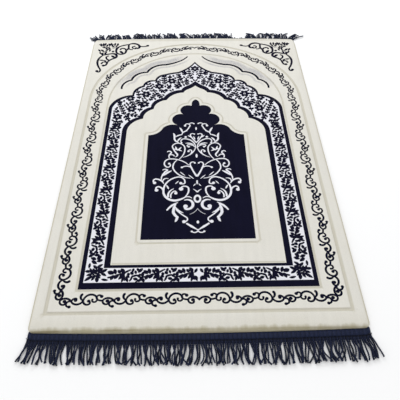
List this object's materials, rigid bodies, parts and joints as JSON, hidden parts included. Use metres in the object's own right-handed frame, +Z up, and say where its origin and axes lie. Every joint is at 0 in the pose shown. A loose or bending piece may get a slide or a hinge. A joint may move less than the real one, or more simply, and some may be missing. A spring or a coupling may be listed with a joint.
{
  "type": "prayer rug",
  "caption": "Cream and navy plush prayer rug with an arched niche design, rolled edges, and a fringed navy tape along each end, lying flat.",
  "frame": {"origin": "on the underside, at the middle of the mat", "axes": "+Y along the rug towards the arch's tip, +X to the right across it, +Z up out of the pile"},
  "size_m": [0.8427, 1.3505, 0.012],
  "materials": {
    "pile": "short soft velvet pile, cream with a navy pattern",
    "yarn": "matt twisted yarn and woven tape, navy"
  },
  "bodies": {
    "root": {"rug_body": "pile", "fringe_near": "yarn", "fringe_far": "yarn"}
  },
  "joints": []
}
